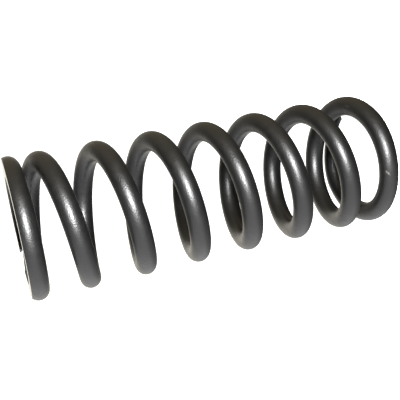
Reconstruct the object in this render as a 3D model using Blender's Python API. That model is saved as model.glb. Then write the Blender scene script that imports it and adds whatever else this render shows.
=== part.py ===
"""Rear shock spring: a right-hand compression coil spring with closed and ground ends.

The spring stands on its lower ground face at z = 0, with its own axis on +Z.
Places along the wire are counted in turns, from the lower tip at 0 upwards.
"""
import math

import bmesh
import bpy
from mathutils import Vector

# Wire and coil, in metres
WIRE_DIAMETER = 0.0117
INNER_DIAMETER = 0.0570
PITCH = 0.0320
TOTAL_TURNS = 8.24
LOWER_TIP_ANGLE = math.radians(25.0)

# End turns: the wire lies nearly flat, then lifts to the full pitch, and its tip is pushed out by the next turn.
# A flat stretch's rise is in metres for each turn.
LOWER_FLAT_TURNS = 0.48
UPPER_FLAT_TURNS = 0.59
LOWER_FLAT_RISE = 0.0004
UPPER_FLAT_RISE = 0.0043
LIFT_TURNS = 0.60
TIP_BEND_TURNS = 0.26
LOWER_TIP_GAP = 0.0019
UPPER_TIP_GAP = 0.0005

# What grinding leaves of the wire at each tip, in metres
LOWER_TIP_THICKNESS = 0.0022
UPPER_TIP_THICKNESS = 0.0022

# Fineness of the faceted wire
POINTS_PER_TURN = 32
WIRE_BEVEL_RESOLUTION = 6
WELD_DISTANCE = 0.00001
SHARP_EDGE_ANGLE = math.radians(35)

# Black powder coat
COAT_COLOUR = (0.016, 0.016, 0.017, 1.0)
COAT_ROUGHNESS = 0.42

wire_radius = WIRE_DIAMETER / 2
coil_radius = INNER_DIAMETER / 2 + wire_radius


def ease(part):
    """Go from 0 to 1 with a level start and a level end."""
    part = min(max(part, 0.0), 1.0)
    return part * part * (3 - 2 * part)


def climb(turns_from_tip, flat_turns, flat_rise):
    """How far an unbent end turn rises: slowly along its flat, faster over the lift, then at the full pitch."""
    part = min(max((turns_from_tip - flat_turns) / LIFT_TURNS, 0.0), 1.0)
    lift = LIFT_TURNS * part**3 * (1 - part / 2)
    working_turns = max(turns_from_tip - flat_turns - LIFT_TURNS, 0.0)
    return flat_rise * turns_from_tip + (PITCH - flat_rise) * (lift + working_turns)


def lower_climb(turn):
    return climb(turn, LOWER_FLAT_TURNS, LOWER_FLAT_RISE)


def upper_climb(turn):
    return climb(TOTAL_TURNS - turn, UPPER_FLAT_TURNS, UPPER_FLAT_RISE)


# Each tip stands out of its end turn so far that the turn beside it clears it by the gap
lower_push = WIRE_DIAMETER + LOWER_TIP_GAP - lower_climb(1)
upper_push = WIRE_DIAMETER + UPPER_TIP_GAP - upper_climb(TOTAL_TURNS - 1)

# Heights of the end turns' centre lines, as if the tips were straight, and of the upper ground face
middle_turn = TOTAL_TURNS / 2
lower_start = LOWER_TIP_THICKNESS - wire_radius + lower_push
upper_start = lower_start + lower_climb(middle_turn) + upper_climb(middle_turn)
free_length = upper_start + upper_push - wire_radius + UPPER_TIP_THICKNESS


def wire_height(turn):
    """Height of the wire's centre line."""
    if turn < middle_turn:
        bend = lower_push * (1 - ease(turn / TIP_BEND_TURNS))
        return lower_start + lower_climb(turn) - bend
    bend = upper_push * (1 - ease((TOTAL_TURNS - turn) / TIP_BEND_TURNS))
    return upper_start - upper_climb(turn) + bend


def wire_point(turn):
    """Centre of the wire, winding anticlockwise as it rises, which is a right-hand coil."""
    angle = LOWER_TIP_ANGLE + 2 * math.pi * turn
    return Vector((coil_radius * math.cos(angle), coil_radius * math.sin(angle), wire_height(turn)))


def clear_scene():
    for old in list(bpy.data.objects):
        bpy.data.objects.remove(old, do_unlink=True)


def new_collection(name):
    collection = bpy.data.collections.new(name)
    bpy.context.scene.collection.children.link(collection)
    return collection


def powder_coat():
    """Thermoset black powder, baked on: dark, with a soft sheen."""
    material = bpy.data.materials.new("black_powder_coat")
    material.use_nodes = True
    shader = material.node_tree.nodes["Principled BSDF"]
    shader.inputs["Base Color"].default_value = COAT_COLOUR
    shader.inputs["Metallic"].default_value = 0.0
    shader.inputs["Roughness"].default_value = COAT_ROUGHNESS
    return material


def wound_wire(collection):
    """The wire as it leaves the coiler: a round bar along the coil's centre line, cut square at both tips."""
    curve = bpy.data.curves.new("wound_wire", "CURVE")
    curve.dimensions = "3D"
    curve.twist_mode = "Z_UP"
    curve.bevel_depth = wire_radius
    curve.bevel_resolution = WIRE_BEVEL_RESOLUTION
    curve.use_fill_caps = True

    turns = [step / POINTS_PER_TURN for step in range(math.ceil(TOTAL_TURNS * POINTS_PER_TURN))]
    turns.append(TOTAL_TURNS)
    spline = curve.splines.new("POLY")
    spline.points.add(len(turns) - 1)
    for point, turn in zip(spline.points, turns):
        point.co = (*wire_point(turn), 1.0)

    wire = bpy.data.objects.new("wound_wire", curve)
    collection.objects.link(wire)
    return wire


def as_mesh(wire, name, collection):
    """Turn the wire into a mesh object whose end caps are welded to its sides."""
    bpy.context.view_layer.update()
    evaluated = wire.evaluated_get(bpy.context.evaluated_depsgraph_get())
    mesh = bpy.data.meshes.new_from_object(evaluated)
    mesh.name = name
    solid = bpy.data.objects.new(name, mesh)
    solid.matrix_world = wire.matrix_world
    collection.objects.link(solid)
    bpy.data.objects.remove(wire, do_unlink=True)

    body = bmesh.new()
    body.from_mesh(mesh)
    bmesh.ops.remove_doubles(body, verts=body.verts, dist=WELD_DISTANCE)
    body.to_mesh(mesh)
    body.free()
    return solid


def grind(solid, height, outwards):
    """Grind one end to a flat face square to the axis, and close the face that the wheel leaves."""
    body = bmesh.new()
    body.from_mesh(solid.data)
    bmesh.ops.bisect_plane(
        body,
        geom=body.verts[:] + body.edges[:] + body.faces[:],
        plane_co=(0, 0, height),
        plane_no=(0, 0, outwards),
        clear_outer=True,
    )
    rim = [edge for edge in body.edges if edge.is_boundary]
    bmesh.ops.holes_fill(body, edges=rim, sides=0)
    bmesh.ops.recalc_face_normals(body, faces=body.faces)
    body.to_mesh(solid.data)
    body.free()


def build_spring():
    collection = new_collection("rear_shock_spring")
    wire = wound_wire(collection)
    spring = as_mesh(wire, "coil_spring", collection)
    grind(spring, 0.0, -1)
    grind(spring, free_length, 1)
    spring.data.materials.clear()
    spring.data.materials.append(powder_coat())
    spring.data.shade_smooth()
    spring.data.set_sharp_from_angle(angle=SHARP_EDGE_ANGLE)


clear_scene()
build_spring()
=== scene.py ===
"""Rear shock spring: a right-hand compression coil spring with closed and ground ends, powder coated black.

The spring stands on its lower ground face at z = 0, with its own axis on +Z.
The camera is rolled, so that the spring lies across the picture with its upper end at the left.
Lengths are in metres.
"""
import math

import bmesh
import bpy
from mathutils import Matrix, Quaternion, Vector


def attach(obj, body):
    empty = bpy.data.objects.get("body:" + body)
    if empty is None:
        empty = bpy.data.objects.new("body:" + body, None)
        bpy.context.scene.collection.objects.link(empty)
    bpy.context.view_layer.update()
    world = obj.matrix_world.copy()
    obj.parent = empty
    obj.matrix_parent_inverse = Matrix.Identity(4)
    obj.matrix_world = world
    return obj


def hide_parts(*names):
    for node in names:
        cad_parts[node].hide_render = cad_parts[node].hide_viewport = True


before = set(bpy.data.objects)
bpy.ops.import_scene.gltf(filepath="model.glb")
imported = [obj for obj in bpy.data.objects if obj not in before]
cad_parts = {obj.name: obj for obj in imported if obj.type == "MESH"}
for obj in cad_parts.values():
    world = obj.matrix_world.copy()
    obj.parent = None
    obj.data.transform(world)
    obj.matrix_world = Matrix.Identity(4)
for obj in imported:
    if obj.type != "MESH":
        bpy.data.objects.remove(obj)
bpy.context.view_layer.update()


# Camera: a short telephoto lens, a little above the spring's middle and rolled on its side.
# The shift only centres the frame as the photograph's is.
CAMERA_PLACE = Vector((0.0, -0.38746, 0.23798))
CAMERA_AIM = Vector((-0.00329, 0.0, 0.11382))
CAMERA_ROLL = math.radians(-101.97)
LENS_MM = 62.217
SENSOR_MM = 36.0
FARTHEST_SEEN = 100.0
SHIFT_RIGHT = 0.0098
SHIFT_UP = -0.0051

camera_data = bpy.data.cameras.new("camera")
camera_data.lens = LENS_MM
camera_data.sensor_width = SENSOR_MM
camera_data.shift_x = SHIFT_RIGHT
camera_data.shift_y = SHIFT_UP
camera_data.clip_end = FARTHEST_SEEN
camera = bpy.data.objects.new("camera", camera_data)
level = (CAMERA_AIM - CAMERA_PLACE).to_track_quat("-Z", "Y")
camera.rotation_mode = "QUATERNION"
camera.rotation_quaternion = level @ Quaternion((0, 0, 1), CAMERA_ROLL)
camera.location = CAMERA_PLACE
bpy.context.scene.collection.objects.link(camera)
bpy.context.scene.camera = camera


# Wire: 11.7 mm round spring steel, wound to the right round a 57 mm mandrel at a 32 mm pitch.
# Each end turn is closed: it lies nearly flat, and its tip is pushed out by the turn beside it.
# Places along the wire are counted in turns from the lower tip.
WIRE_DIAMETER = 0.0117
INNER_DIAMETER = 0.0570
PITCH = 0.0320
TOTAL_TURNS = 8.24
LOWER_TIP_ANGLE = math.radians(25.0)

LOWER_FLAT_TURNS = 0.48
UPPER_FLAT_TURNS = 0.59
LOWER_FLAT_RISE = 0.0004
UPPER_FLAT_RISE = 0.0043
LIFT_TURNS = 0.60
TIP_BEND_TURNS = 0.26
LOWER_TIP_GAP = 0.0019
UPPER_TIP_GAP = 0.0001
LOWER_TIP_THICKNESS = 0.0022
UPPER_TIP_THICKNESS = 0.0026

STEPS_PER_TURN = 125
WIRE_SIDES = 40
TIP_EDGE_RADIUS = 0.0003
TIP_EDGE_SEGMENTS = 3

wire_radius = WIRE_DIAMETER / 2
coil_radius = INNER_DIAMETER / 2 + wire_radius


def ease(part):
    """Go from 0 to 1 with a level start and a level end."""
    part = min(max(part, 0.0), 1.0)
    return part * part * (3 - 2 * part)


def climb(turns_from_tip, flat_turns, flat_rise):
    """How far an unbent end turn rises: slowly on its flat, faster over the lift, then at the full pitch."""
    part = min(max((turns_from_tip - flat_turns) / LIFT_TURNS, 0.0), 1.0)
    lift = LIFT_TURNS * part**3 * (1 - part / 2)
    working_turns = max(turns_from_tip - flat_turns - LIFT_TURNS, 0.0)
    return flat_rise * turns_from_tip + (PITCH - flat_rise) * (lift + working_turns)


def lower_climb(turn):
    return climb(turn, LOWER_FLAT_TURNS, LOWER_FLAT_RISE)


def upper_climb(turn):
    return climb(TOTAL_TURNS - turn, UPPER_FLAT_TURNS, UPPER_FLAT_RISE)


lower_push = WIRE_DIAMETER + LOWER_TIP_GAP - lower_climb(1)
upper_push = WIRE_DIAMETER + UPPER_TIP_GAP - upper_climb(TOTAL_TURNS - 1)
middle_turn = TOTAL_TURNS / 2
lower_start = LOWER_TIP_THICKNESS - wire_radius + lower_push
upper_start = lower_start + lower_climb(middle_turn) + upper_climb(middle_turn)
free_length = upper_start + upper_push - wire_radius + UPPER_TIP_THICKNESS


def wire_height(turn):
    """Height of the wire's centre line at a place along it."""
    if turn < middle_turn:
        bend = lower_push * (1 - ease(turn / TIP_BEND_TURNS))
        return lower_start + lower_climb(turn) - bend
    bend = upper_push * (1 - ease((TOTAL_TURNS - turn) / TIP_BEND_TURNS))
    return upper_start - upper_climb(turn) + bend


def wind_wire():
    """Spin the wire's round section up the coil, and ease the edges of its square cut tips."""
    wire = bmesh.new()
    slope_stretch = math.hypot(1, PITCH / (2 * math.pi * coil_radius))
    on_the_coil = (
        Matrix.Rotation(LOWER_TIP_ANGLE, 4, "Z")
        @ Matrix.Translation((coil_radius, 0, wire_height(0)))
        @ Matrix.Rotation(math.pi / 2, 4, "X")
        @ Matrix.Diagonal((1, slope_stretch, 1, 1))
    )
    section = bmesh.ops.create_circle(
        wire, cap_ends=True, segments=WIRE_SIDES, radius=wire_radius, matrix=on_the_coil
    )["verts"]
    first_tip = list(wire.edges)
    ring = section + first_tip
    first_even = math.ceil((LOWER_FLAT_TURNS + LIFT_TURNS) * STEPS_PER_TURN)
    last_even = math.floor((TOTAL_TURNS - UPPER_FLAT_TURNS - LIFT_TURNS) * STEPS_PER_TURN)
    last = round(TOTAL_TURNS * STEPS_PER_TURN)
    stops = [*range(first_even + 1), *range(last_even, last + 1)]
    for start, stop in zip(stops, stops[1:]):
        steps = stop - start
        ring = bmesh.ops.spin(
            wire,
            geom=ring,
            cent=(0, 0, 0),
            axis=(0, 0, 1),
            dvec=(0, 0, (wire_height(stop / STEPS_PER_TURN) - wire_height(start / STEPS_PER_TURN)) / steps),
            angle=2 * math.pi * steps / STEPS_PER_TURN,
            steps=steps,
        )["geom_last"]
    last_tip = [part for part in ring if isinstance(part, bmesh.types.BMEdge)]
    bmesh.ops.holes_fill(wire, edges=last_tip, sides=0)
    bmesh.ops.recalc_face_normals(wire, faces=wire.faces)
    bmesh.ops.bevel(
        wire,
        geom=first_tip + last_tip,
        offset=TIP_EDGE_RADIUS,
        affect="EDGES",
        segments=TIP_EDGE_SEGMENTS,
        profile=0.5,
        material=-1,
    )
    return wire


# Ground ends: a wheel takes each end down to a flat face, about three quarters of a turn long.
# The lower one is square to the axis and the upper one 1.6 degrees out, as in the photograph.
# The coat rounds their rims, in two steps of an inset and a rise.
RIM_STEPS = ((0.00010, 0.00022), (0.00025, 0.00010))
SHORTEST_RIM_EDGE = 0.0001
UPPER_FACE_SLOPE = Vector((0.0104, -0.0250))


def grind(wire, height, outwards):
    """Cut the wire off at a plane, round its rim out to the ground face, and mark that face."""
    rim_height = sum(rise for inset, rise in RIM_STEPS)
    bmesh.ops.bisect_plane(
        wire,
        geom=wire.verts[:] + wire.edges[:] + wire.faces[:],
        plane_co=Vector((0, 0, height)) - rim_height * outwards,
        plane_no=outwards,
        clear_outer=True,
    )
    rim = [corner for corner in wire.verts if corner.is_boundary]
    bmesh.ops.remove_doubles(wire, verts=rim, dist=SHORTEST_RIM_EDGE)
    rim_edges = [edge for edge in wire.edges if edge.is_boundary]
    flat = bmesh.ops.holes_fill(wire, edges=rim_edges, sides=0)["faces"][0]
    bmesh.ops.recalc_face_normals(wire, faces=wire.faces)
    for inset, rise in RIM_STEPS:
        bmesh.ops.inset_region(wire, faces=[flat], thickness=inset, depth=rise, use_even_offset=True)
    for edge in flat.edges:
        edge.smooth = False
    flat[wire.faces.layers.float["ground"]] = 1.0


wire = wind_wire()
wire.faces.layers.float.new("ground")
for face in wire.faces:
    face.smooth = True
grind(wire, 0.0, Vector((0, 0, -1)))
grind(wire, free_length, Vector((*-UPPER_FACE_SLOPE, 1)).normalized())
spring_mesh = bpy.data.meshes.new("coil_spring_coated")
wire.to_mesh(spring_mesh)
wire.free()
spring = bpy.data.objects.new("coil_spring_coated", spring_mesh)
bpy.context.scene.collection.objects.link(spring)
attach(spring, "root")
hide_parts("coil_spring")


# Black powder coat: thermoset resin with carbon black, sprayed dry and baked on.
# It gives a near black satin with a fine orange peel, which breaks up the highlights.
def linear(hex_colour):
    """Turn an sRGB hex colour into the linear values that shaders take."""
    values = [int(hex_colour[start:start + 2], 16) / 255 for start in (0, 2, 4)]
    return tuple(v / 12.92 if v <= 0.04045 else ((v + 0.055) / 1.055) ** 2.4 for v in values) + (1.0,)


def add_node(tree, kind, links=(), **settings):
    """Add a node, set its properties or the sockets that it uses, and link outputs to its sockets."""
    node = tree.nodes.new(kind)
    for name, value in settings.items():
        if hasattr(node, name):
            setattr(node, name, value)
    sockets = {socket.name: socket for socket in node.inputs if socket.enabled}
    for name, value in settings.items():
        if name in sockets:
            sockets[name].default_value = value
    for name, output in links:
        tree.links.new(output, node.inputs[name] if isinstance(name, int) else sockets[name])
    return node


COAT_IOR = 1.5
COAT_COLOUR = "060606"
SMOOTH_COAT = 0.38                    # roughness where the powder flowed out well
DRY_COAT = 0.46                       # and where it was sprayed on drier
GROUND_FACE_COAT = 0.22               # and on the ground faces, which are smoother
MOTTLE_MM = 4.0                       # patches of drier coat
MOTTLE_RANGE = (0.3, 0.7)             # of the noise, from smooth to dry
PEEL_MM = 3.0                         # orange peel, from swell to swell
PEEL_HEIGHT = 0.00002
GRAIN_MM = 0.7                        # powder grains are about 0.05 mm: drawn coarser, to show in the picture
GRAIN_HEIGHT = 0.00009

coat = bpy.data.materials.new("black_powder_coat")
coat.use_nodes = True
tree = coat.node_tree
shader = tree.nodes["Principled BSDF"]
shader.inputs["IOR"].default_value = COAT_IOR
place = add_node(tree, "ShaderNodeTexCoord").outputs["Object"]
mottle = add_node(
    tree, "ShaderNodeTexNoise", [("Vector", place)], Scale=1000 / MOTTLE_MM, Detail=3.0, Roughness=0.6
).outputs["Fac"]
peel = add_node(
    tree, "ShaderNodeTexNoise", [("Vector", place)], Scale=1000 / PEEL_MM, Detail=1.0, Roughness=0.5
).outputs["Fac"]
grain = add_node(
    tree, "ShaderNodeTexNoise", [("Vector", place)], Scale=1000 / GRAIN_MM, Detail=0.0
).outputs["Fac"]

# Grey marks on the black: two marks of handling rubbed through the black to a grey, a scuff across the lower
# end turn's front and a fainter one where that turn is highest in the picture, and a painted highlight at the
# lower tip, a grey spot for light caught on the tip.
# Each is a start, an end, a half width and a depth.
MARKS = (
    ((-0.01060, -0.03635, 0.00781), (-0.01337, -0.03698, 0.00612), 0.00080, 0.35),
    ((0.03390, -0.01284, 0.01207), (0.03080, -0.01894, 0.01144), 0.00035, 0.08),
    # Painted highlight: this grey spot at the lower tip stands in for light caught on the tip, not for a
    # chip.
    ((0.02640, 0.01400, 0.00071), (0.02720, 0.01480, 0.00071), 0.00050, 0.8),
)
MARK_COLOUR = "85827c"
MARK_ROUGHNESS = 0.55
CRUMB_MM = 0.7                        # how the marks break up
CRUMB_RANGE = (0.35, 0.55)            # of the noise, from black to marked
MARK_EDGE = (1.0, 0.5)                # of the way out from a mark's middle: its outside, and its full depth


def mark(start, end, half_width, depth):
    """How marked a spot is: 0 outside a mark, up to the mark's depth in its middle, broken up by noise."""
    start, end = Vector(start), Vector(end)
    along = (end - start) / 2
    inside = add_node(
        tree,
        "ShaderNodeMapping",
        [("Vector", place)],
        vector_type="TEXTURE",
        Location=(start + end) / 2,
        Rotation=Vector((1, 0, 0)).rotation_difference(along).to_euler(),
        Scale=(along.length + half_width, half_width, half_width),
    ).outputs["Vector"]
    reach = add_node(tree, "ShaderNodeVectorMath", [(0, inside)], operation="LENGTH").outputs["Value"]
    whole = add_node(
        tree,
        "ShaderNodeMapRange",
        [("Value", reach)],
        **{"From Min": MARK_EDGE[0], "From Max": MARK_EDGE[1], "To Max": depth},
    ).outputs["Result"]
    return add_node(tree, "ShaderNodeMath", [(0, whole), (1, crumbs)], operation="MULTIPLY").outputs["Value"]


crumb_noise = add_node(
    tree, "ShaderNodeTexNoise", [("Vector", place)], Scale=1000 / CRUMB_MM, Detail=1.0
).outputs["Fac"]
crumbs = add_node(
    tree,
    "ShaderNodeMapRange",
    [("Value", crumb_noise)],
    **{"From Min": CRUMB_RANGE[0], "From Max": CRUMB_RANGE[1]},
).outputs["Result"]
# The scuff and the fainter mark are wear; the mark at the lower tip is a painted highlight.
wear_and_tip_highlight = mark(*MARKS[0])
for values in MARKS[1:]:
    wear_and_tip_highlight = add_node(
        tree, "ShaderNodeMath", [(0, wear_and_tip_highlight), (1, mark(*values))], operation="MAXIMUM"
    ).outputs["Value"]

# Grey where the coat is rubbed through, and grey painted as a highlight at the lower tip.
colour = add_node(
    tree, "ShaderNodeMix", [("Factor", wear_and_tip_highlight)], data_type="RGBA", A=linear(COAT_COLOUR), B=linear(MARK_COLOUR)
).outputs["Result"]
satin = add_node(
    tree,
    "ShaderNodeMapRange",
    [("Value", mottle)],
    **{
        "From Min": MOTTLE_RANGE[0],
        "From Max": MOTTLE_RANGE[1],
        "To Min": SMOOTH_COAT,
        "To Max": DRY_COAT,
    },
).outputs["Result"]
ground = add_node(tree, "ShaderNodeAttribute", attribute_name="ground").outputs["Fac"]
with_faces = add_node(
    tree, "ShaderNodeMix", [("Factor", ground), ("A", satin)], B=GROUND_FACE_COAT
).outputs["Result"]
roughness = add_node(
    tree, "ShaderNodeMix", [("Factor", wear_and_tip_highlight), ("A", with_faces)], B=MARK_ROUGHNESS
).outputs["Result"]
swells = add_node(
    tree, "ShaderNodeBump", [("Height", peel)], Strength=1.0, Distance=PEEL_HEIGHT
).outputs["Normal"]
grains = add_node(
    tree, "ShaderNodeBump", [("Height", grain), ("Normal", swells)], Strength=1.0, Distance=GRAIN_HEIGHT
).outputs["Normal"]
tree.links.new(colour, shader.inputs["Base Color"])
tree.links.new(roughness, shader.inputs["Roughness"])
tree.links.new(grains, shader.inputs["Normal"])
spring_mesh.materials.append(coat)


# Floor: a plain white table, lit so evenly that the spring's shadow is washed out.
# The spring lay on its side for the picture, so it doesn't mirror this floor that it stands on.
FLOOR_WIDTH = 60.0
FLOOR_COLOUR = "f2f2f2"
FLOOR_ROUGHNESS = 0.9
FLOOR_GLOW_COLOUR = "ffffff"
FLOOR_GLOW = 1.0

floor_shape = bmesh.new()
bmesh.ops.create_grid(floor_shape, x_segments=1, y_segments=1, size=FLOOR_WIDTH / 2)
floor_mesh = bpy.data.meshes.new("floor")
floor_shape.to_mesh(floor_mesh)
floor_shape.free()
floor = bpy.data.objects.new("floor", floor_mesh)
bpy.context.scene.collection.objects.link(floor)
white_table = bpy.data.materials.new("white_backlit_acrylic")
white_table.use_nodes = True
table_shader = white_table.node_tree.nodes["Principled BSDF"]
table_shader.inputs["Base Color"].default_value = linear(FLOOR_COLOUR)
table_shader.inputs["Roughness"].default_value = FLOOR_ROUGHNESS
table_shader.inputs["Emission Color"].default_value = linear(FLOOR_GLOW_COLOUR)
table_shader.inputs["Emission Strength"].default_value = FLOOR_GLOW
floor_mesh.materials.append(white_table)
floor.visible_glossy = False
floor.visible_diffuse = False
floor.visible_shadow = False


# Studio light: a white table, grey walls and a dim cream ceiling, with a pale backdrop behind the spring,
# and a small lamp just above the lens. The ceiling is towards +X and the table towards -X, as the spring lay.
ROOM_STRENGTH = 2.1
ROOM_COLOURS = (                      # height in the picture, from 0 below to 1 above
    (0.05, "ffffff"),
    (0.175, "e3e3e3"),
    (0.325, "9e9e9e"),
    (0.475, "4a4a4a"),
    (0.70, "58544a"),
    (0.925, "90866f"),
)
FAR_END_SHARE = 0.40                  # how strong the light from the picture's right is, of the rest
FAR_END_RANGE = (-0.65, -0.35)        # of the direction's Z, from dimmed to full
BACKDROP_COLOUR = "f4efe2"            # seen at a grazing angle in the rims and in the upper ground face
BACKDROP_RANGE = (0.80, 0.98)         # of the direction's Y, from none to full

world = bpy.data.worlds.new("room")
bpy.context.scene.world = world
world.use_nodes = True
room = world.node_tree
towards = add_node(room, "ShaderNodeTexCoord").outputs["Generated"]
along = add_node(room, "ShaderNodeSeparateXYZ", [("Vector", towards)]).outputs
height = add_node(room, "ShaderNodeMapRange", [("Value", along["X"])], **{"From Min": -1.0}).outputs["Result"]
ramp = add_node(room, "ShaderNodeValToRGB", [("Fac", height)])
stops = ramp.color_ramp.elements
while len(stops) < len(ROOM_COLOURS):
    stops.new(0.5)
for stop, (position, hex_colour) in zip(stops, ROOM_COLOURS):
    stop.position = position
for stop, (position, hex_colour) in zip(stops, ROOM_COLOURS):
    stop.color = linear(hex_colour)
behind = add_node(
    room,
    "ShaderNodeMapRange",
    [("Value", along["Y"])],
    **{"From Min": BACKDROP_RANGE[0], "From Max": BACKDROP_RANGE[1]},
).outputs["Result"]
surroundings = add_node(
    room,
    "ShaderNodeMix",
    [("Factor", behind), ("A", ramp.outputs["Color"])],
    data_type="RGBA",
    B=linear(BACKDROP_COLOUR),
).outputs["Result"]
room.links.new(surroundings, room.nodes["Background"].inputs["Color"])
strength = add_node(
    room,
    "ShaderNodeMapRange",
    [("Value", along["Z"])],
    **{
        "From Min": FAR_END_RANGE[0],
        "From Max": FAR_END_RANGE[1],
        "To Min": FAR_END_SHARE * ROOM_STRENGTH,
        "To Max": ROOM_STRENGTH,
    },
).outputs["Result"]
room.links.new(strength, room.nodes["Background"].inputs["Strength"])

LAMP_PLACE = Vector((0.045, -0.410, 0.217))
LAMP_WIDTH = 0.07
LAMP_WATTS = 9.3

lamp_data = bpy.data.lights.new("lamp", "AREA")
lamp_data.shape = "SQUARE"
lamp_data.size = LAMP_WIDTH
lamp_data.energy = LAMP_WATTS
lamp = bpy.data.objects.new("lamp", lamp_data)
lamp.location = LAMP_PLACE
lamp.rotation_mode = "QUATERNION"
lamp.rotation_quaternion = (LAMP_PLACE - Vector((0, 0, free_length / 2))).to_track_quat("Z", "Y")
lamp.visible_camera = False
bpy.context.scene.collection.objects.link(lamp)

bpy.context.scene.view_settings.view_transform = "Standard"
